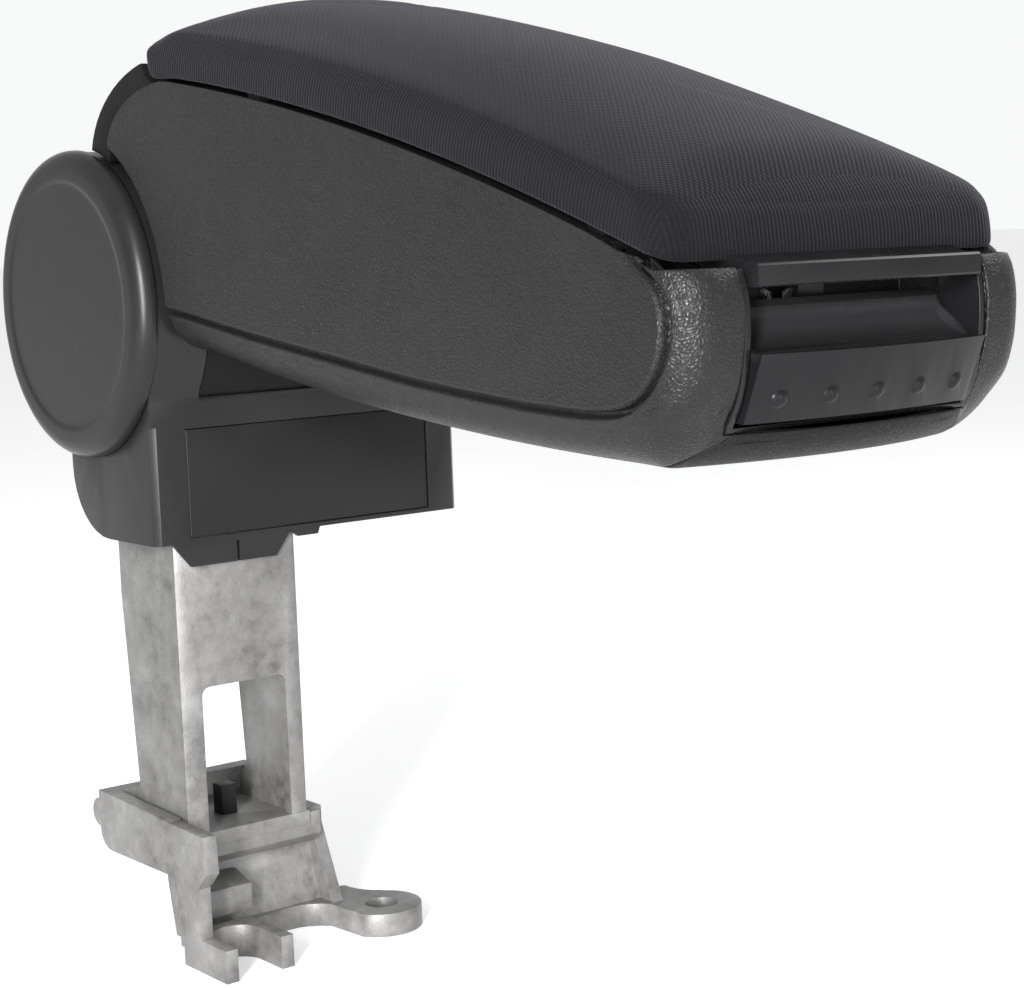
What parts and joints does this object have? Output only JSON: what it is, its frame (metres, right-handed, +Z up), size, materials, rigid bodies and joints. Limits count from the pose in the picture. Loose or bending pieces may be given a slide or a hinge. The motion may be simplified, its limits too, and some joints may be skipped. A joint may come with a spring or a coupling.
{
  "type": "car centre armrest",
  "caption": "Padded folding car armrest with a storage box under its lid, on a drum hinge, a cast channel post and a bolted foot.",
  "frame": {"origin": "axis of the foot's ear hole, on the underside of the foot", "axes": "+X towards the nose of the armrest, +Y to its left side, +Z up"},
  "size_m": [0.3561, 0.1372, 0.3109],
  "materials": {
    "cast_metal": "raw sand-cast surface, mottled and matt",
    "machined_steel": "turned and plated, light sheen",
    "black_steel": "dark plated steel, satin",
    "bronze": "turned washer, dull",
    "drum_plastic": "smooth satin charcoal",
    "insert_plastic": "smooth matt black",
    "grained_plastic": "fine leather grain, semi-gloss",
    "tray_plastic": "smooth matt",
    "gloss_black": "smooth semi-gloss black",
    "bush_plastic": "natural engineering plastic",
    "lid_fabric": "fine ribbed black knit over foam",
    "rubber_black": "moulded, matt",
    "cap_black": "moulded bolt cap, matt"
  },
  "bodies": {
    "base": {"foot_casting": "cast_metal", "post_casting": "cast_metal", "clamp_bolt": "black_steel", "bolt_cap": "cap_black", "base_cover": "drum_plastic", "front_insert": "insert_plastic", "hinge_cap_right": "drum_plastic", "hinge_cap_left": "drum_plastic", "hinge_axle": "machined_steel", "axle_nuts": "black_steel", "thrust_washers": "bronze", "stop_pins": "machined_steel", "cover_screws": "black_steel"},
    "armrest": {"arm_frame": "black_steel", "hub_bushes": "bush_plastic", "rear_cover": "drum_plastic", "side_shell_right": "grained_plastic", "side_shell_left": "grained_plastic", "lower_shell": "grained_plastic", "storage_tray": "tray_plastic", "front_frame": "gloss_black", "latch_clip": "machined_steel", "lid_pin": "machined_steel", "paddle_pin": "machined_steel", "paddle_spring": "machined_steel", "tray_screws": "black_steel", "shell_screws": "black_steel"},
    "lid": {"lid_base": "gloss_black", "lid_cushion": "lid_fabric", "lid_bumpers": "rubber_black"},
    "paddle": {"release_paddle": "gloss_black"}
  },
  "joints": [
    {"name": "armrest_fold", "type": "hinge", "parent": "base", "child": "armrest", "pos_m": [-0.057, -0.01, 0.219], "axis": [0, -1, 0], "range_deg": [0, 95]},
    {"name": "lid_open", "type": "hinge", "parent": "armrest", "child": "lid", "pos_m": [0, -0.01, 0.2965], "axis": [0, -1, 0], "range_deg": [0, 75], "deforming": ["latch_clip"]},
    {"name": "paddle_press", "type": "hinge", "parent": "armrest", "child": "paddle", "pos_m": [0.231, -0.01, 0.193], "axis": [0, -1, 0], "range_deg": [0, 6], "stiffness_Nm_per_rad": 0.4, "springref_deg": -14.9, "deforming": ["paddle_spring"]}
  ]
}
